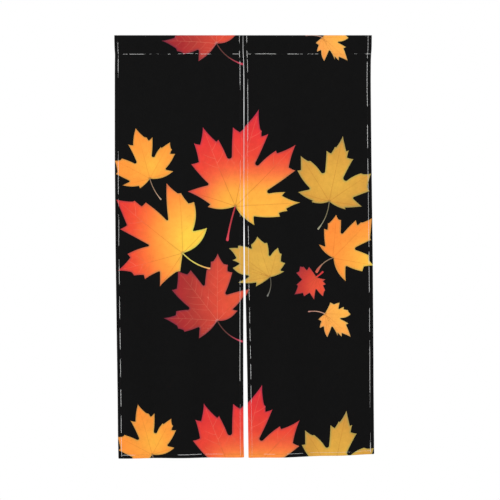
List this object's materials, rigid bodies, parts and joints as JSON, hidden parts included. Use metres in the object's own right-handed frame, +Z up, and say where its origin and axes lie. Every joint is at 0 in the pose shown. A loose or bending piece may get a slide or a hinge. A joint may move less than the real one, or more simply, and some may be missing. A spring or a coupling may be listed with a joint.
{
  "type": "noren curtain",
  "caption": "Noren doorway curtain of black cloth printed with autumn maple leaves: side-by-side panels split from top to foot, each with hemmed edges and a rod pocket along its top.",
  "frame": {"origin": "middle of the curtain's top edge, between the panels, in the plane in which the cloth hangs", "axes": "+Z up along the hang, +X across the curtain to the right as seen from its printed front, which faces -Y"},
  "size_m": [0.8729, 0.0249, 1.4218],
  "materials": {
    "printed_cloth": "matt plain-weave polyester, black ground with leaves printed in red, orange and mustard yellow",
    "sewing_thread": "fine off-white polyester thread, soft sheen"
  },
  "bodies": {
    "root": {"panel_left": "printed_cloth", "panel_right": "printed_cloth"}
  },
  "joints": []
}
